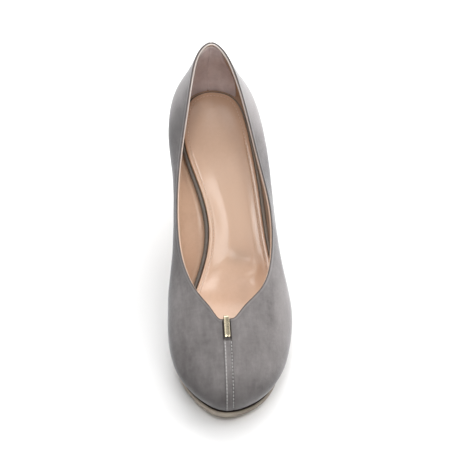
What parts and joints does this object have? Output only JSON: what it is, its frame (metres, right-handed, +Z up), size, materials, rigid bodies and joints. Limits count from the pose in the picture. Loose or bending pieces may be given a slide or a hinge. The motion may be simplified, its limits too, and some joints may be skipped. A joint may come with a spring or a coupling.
{
  "type": "pump shoe",
  "caption": "Left-foot pump shoe: low-cut suede upper with a V throat and a metal bar, padded leather insole with piping, thin outsole and a covered high heel.",
  "frame": {"origin": "on the floor under the middle of the shoe's box", "axes": "+Z up, +Y from the toe to the heel, +X from the medial (big toe) side to the lateral side"},
  "size_m": [0.0822, 0.2274, 0.1215],
  "materials": {
    "grey_suede": "matt suede with a short nap",
    "tan_leather": "smooth leather, satin",
    "grey_piping": "dull leather piping",
    "taupe_sole": "smooth sole, satin",
    "heel_suede": "matt suede cover with a short nap",
    "dark_rubber": "dull",
    "pale_gold": "polished plate"
  },
  "bodies": {
    "root": {"upper": "grey_suede", "insole": "tan_leather", "insole_piping": "grey_piping", "outsole": "taupe_sole", "heel": "heel_suede", "heel_top_lift": "dark_rubber", "throat_bar": "pale_gold"}
  },
  "joints": []
}
